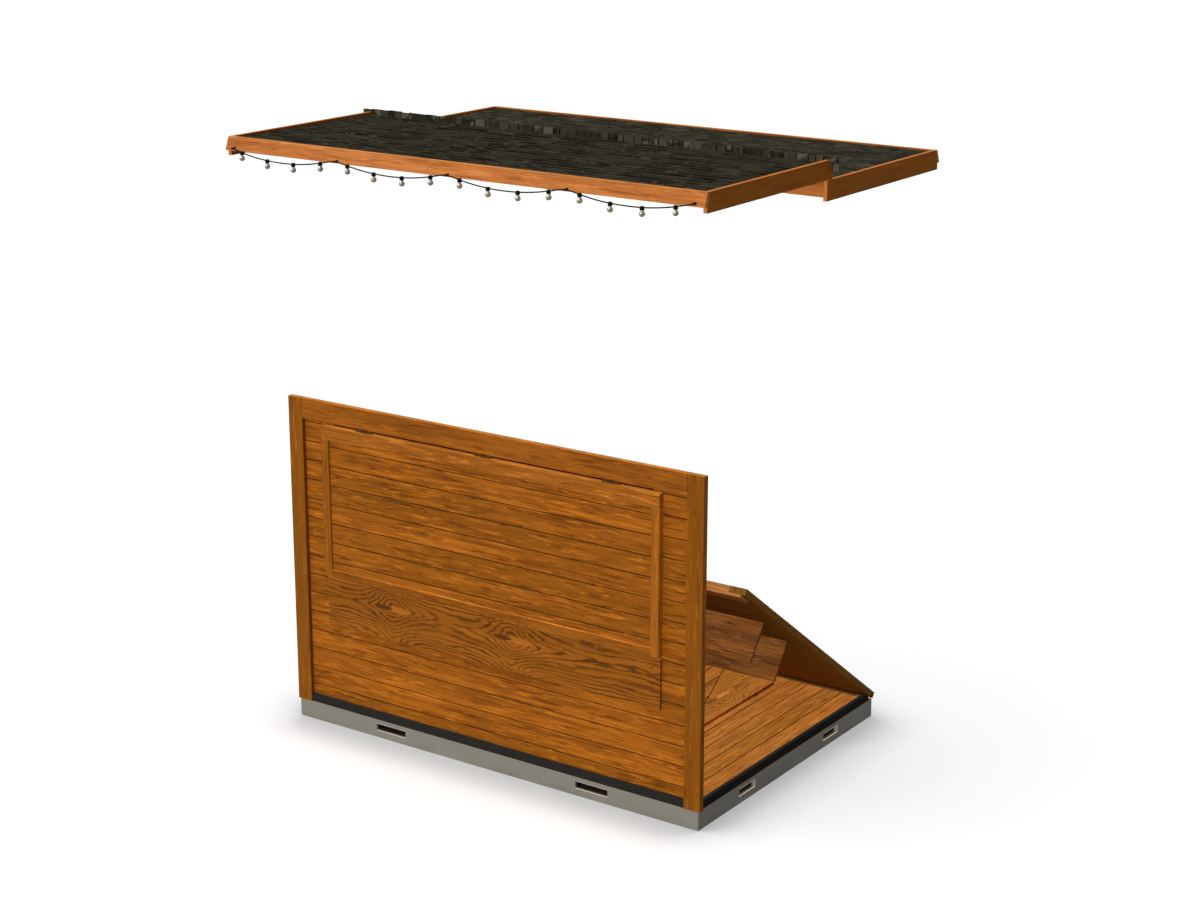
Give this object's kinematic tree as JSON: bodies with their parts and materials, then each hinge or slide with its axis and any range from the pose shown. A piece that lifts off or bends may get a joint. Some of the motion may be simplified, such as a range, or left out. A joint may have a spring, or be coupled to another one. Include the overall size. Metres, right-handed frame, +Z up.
{
  "type": "market stall",
  "caption": "Folding wooden market stall on a steel base: front wall with hatch and counter, raised back wall with shelves, folded side walls and a shingled roof lifted off.",
  "frame": {"origin": "middle of the stall's base on the ground", "axes": "+X along the counter side to the right of someone facing it, +Y from the counter side to the back, +Z up"},
  "size_m": [3.416, 2.6958, 3.75],
  "materials": {
    "steel": "satin grey paint",
    "edge": "matt black",
    "bearer": "rough sawn",
    "floor": "oiled boards",
    "boards": "stained boards with dark joints",
    "frame": "stained planed timber",
    "counter": "stained board with broad grain",
    "shelf": "stained board",
    "hardware": "zinc plated",
    "roof_board": "light stained planed timber",
    "roof_deck": "boards under shingles",
    "shingle": "mineral bitumen shingle",
    "cord": "matt black",
    "bulb": "frosted, unlit"
  },
  "bodies": {
    "stall": {"base_front_rail": "steel", "base_rear_rail": "steel", "base_left_rail": "steel", "base_right_rail": "steel", "front_edge_strip": "edge", "left_edge_strip": "edge", "right_edge_strip": "edge", "floor_bearers": "bearer", "floor_deck": "floor", "front_side_boards": "boards", "front_header_boards": "boards", "front_lower_boards": "boards", "left_side_wall": "boards", "right_side_wall": "boards", "front_left_post": "frame", "front_right_post": "frame", "front_top_rail": "frame", "left_side_counter": "counter", "right_side_counter": "counter", "hatch_hinge_leaves": "hardware", "counter_hinge_leaves": "hardware", "back_hinge_lugs": "hardware"},
    "roof": {"front_roof_deck": "roof_deck", "front_eave_board": "roof_board", "front_gable_boards": "roof_board", "rear_roof_deck": "roof_deck", "rear_eave_board": "roof_board", "rear_near_board": "roof_board", "rear_gable_boards": "roof_board", "ridge_cap": "shingle", "light_cord": "cord", "light_clips": "cord", "light_sockets": "cord", "light_bulbs": "bulb"},
    "back_wall": {"back_left_post": "frame", "back_right_post": "frame", "back_top_rail": "frame", "back_boards": "boards", "back_ledger": "frame", "back_upper_shelf": "shelf", "back_lower_shelf": "shelf", "back_hinge_pins": "hardware"},
    "hatch": {"hatch_boards": "boards", "hatch_stiles": "frame", "hatch_bottom_rail": "frame", "hatch_top_rail": "frame", "hatch_hinge_knuckles": "hardware"},
    "counter": {"counter_board": "counter", "counter_hinge_knuckles": "hardware"}
  },
  "joints": [
    {"name": "roof_lift", "type": "slide", "parent": "stall", "child": "roof", "axis": [0, 0, 1], "range_m": [-1.43, 0]},
    {"name": "back_wall_raise", "type": "hinge", "parent": "stall", "child": "back_wall", "pos_m": [0, 1.01, 0.148], "axis": [-1, 0, 0], "range_deg": [-6, 54]},
    {"name": "hatch_open", "type": "hinge", "parent": "stall", "child": "hatch", "pos_m": [0, -1.05, 1.9775], "axis": [-1, 0, 0], "range_deg": [0, 90]},
    {"name": "counter_raise", "type": "hinge", "parent": "stall", "child": "counter", "pos_m": [0, -1.041, 0.99], "axis": [-1, 0, 0], "range_deg": [0, 90]}
  ]
}
